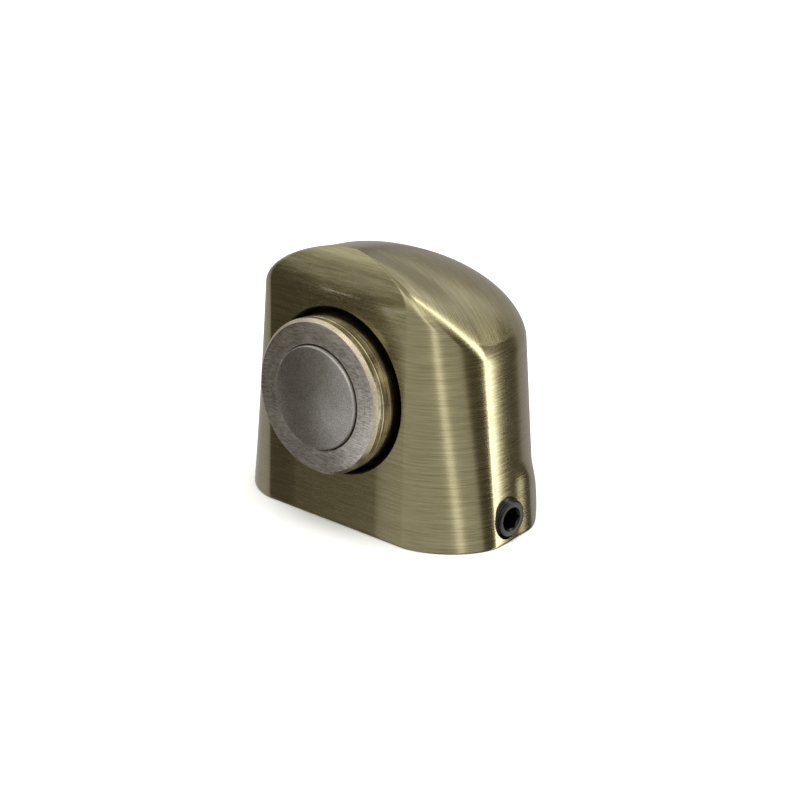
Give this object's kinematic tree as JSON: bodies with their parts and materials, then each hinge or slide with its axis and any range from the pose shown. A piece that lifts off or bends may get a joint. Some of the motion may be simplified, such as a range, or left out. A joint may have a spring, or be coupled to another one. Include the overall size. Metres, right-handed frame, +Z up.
{
  "type": "magnetic door stop",
  "caption": "Floor-mounted magnetic door stop: domed hollow metal body with a steel magnet cup in its flat front, clamped to a round floor base by a side set screw.",
  "frame": {"origin": "on the floor, in the centre of the round floor base, midway between its two screw holes", "axes": "+Z up; the flat front with the magnet looks along -Y; the set screw is on the +X side; +Y is the rounded back"},
  "size_m": [0.0612, 0.0482, 0.0538],
  "materials": {
    "body": "brushed antique brass, satin",
    "magnet_cup": "ground and turned steel, satin",
    "magnet": "dull gunmetal grey",
    "cup_screw": "zinc plated",
    "set_screw": "black oxide, oiled",
    "floor_base": "zinc plated steel"
  },
  "bodies": {
    "root": {"body": "body", "magnet_cup": "magnet_cup", "magnet": "magnet", "cup_screw": "cup_screw", "set_screw": "set_screw", "floor_base": "floor_base"}
  },
  "joints": []
}
